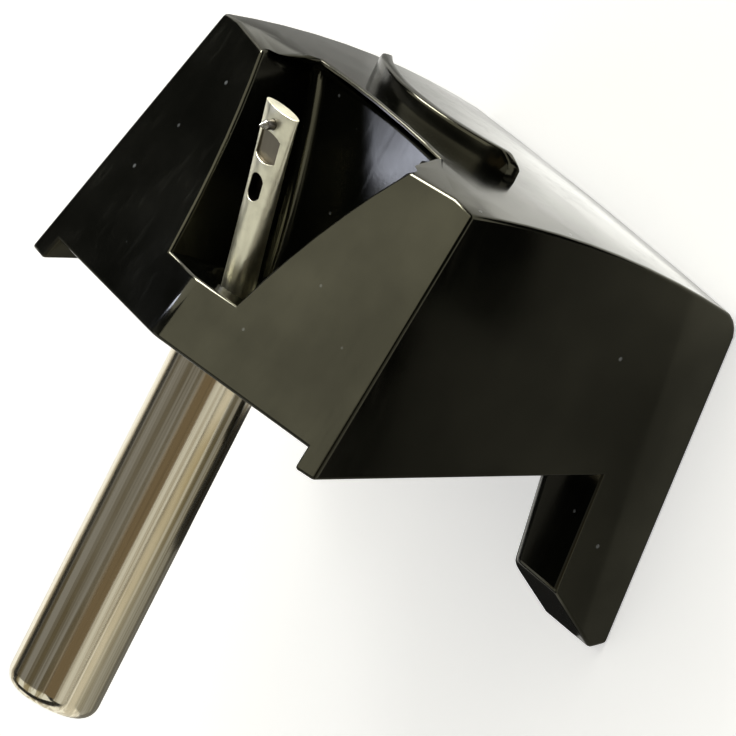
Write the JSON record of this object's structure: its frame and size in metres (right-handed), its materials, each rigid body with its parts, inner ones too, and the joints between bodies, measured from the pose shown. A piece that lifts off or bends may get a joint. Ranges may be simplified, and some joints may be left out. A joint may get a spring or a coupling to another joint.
{
  "type": "turntable stylus",
  "caption": "Plug-in turntable stylus: black moulded holder with finger lip and rear prongs, plated metal tube, and a raked cantilever that flexes in a rubber ring.",
  "frame": {"origin": "on the axis of the plug-in tube, at the seat face where the tube leaves the holder", "axes": "+Y along the tube to its free end, +Z to the record side with the stylus tip, the flat back rests below"},
  "size_m": [0.013, 0.0175, 0.0122],
  "materials": {
    "holder": "glossy black moulding",
    "tube": "nickel plated",
    "sleeve": "turned",
    "suspension": "matt",
    "cantilever": "drawn, pale gold",
    "magnet": "sintered",
    "shank": "ground",
    "diamond": "polished"
  },
  "bodies": {
    "holder": {"stylus_holder": "holder", "stylus_tube": "tube", "bearing_sleeve": "sleeve"},
    "suspension": {"suspension_ring": "suspension"},
    "stylus": {"cantilever": "cantilever", "armature_magnet": "magnet", "tip_shank": "shank", "diamond_tip": "diamond"}
  },
  "joints": [
    {"name": "vertical_flex", "type": "hinge", "parent": "holder", "child": "suspension", "pos_m": [0, 0.0002, 0], "axis": [1, 0, 0], "range_deg": [-3, 8], "stiffness_Nm_per_rad": 0.0025},
    {"name": "lateral_flex", "type": "hinge", "parent": "suspension", "child": "stylus", "pos_m": [0, 0.0002, 0], "axis": [0, 0.2807, 0.9598], "range_deg": [-5, 5], "stiffness_Nm_per_rad": 0.0025}
  ]
}
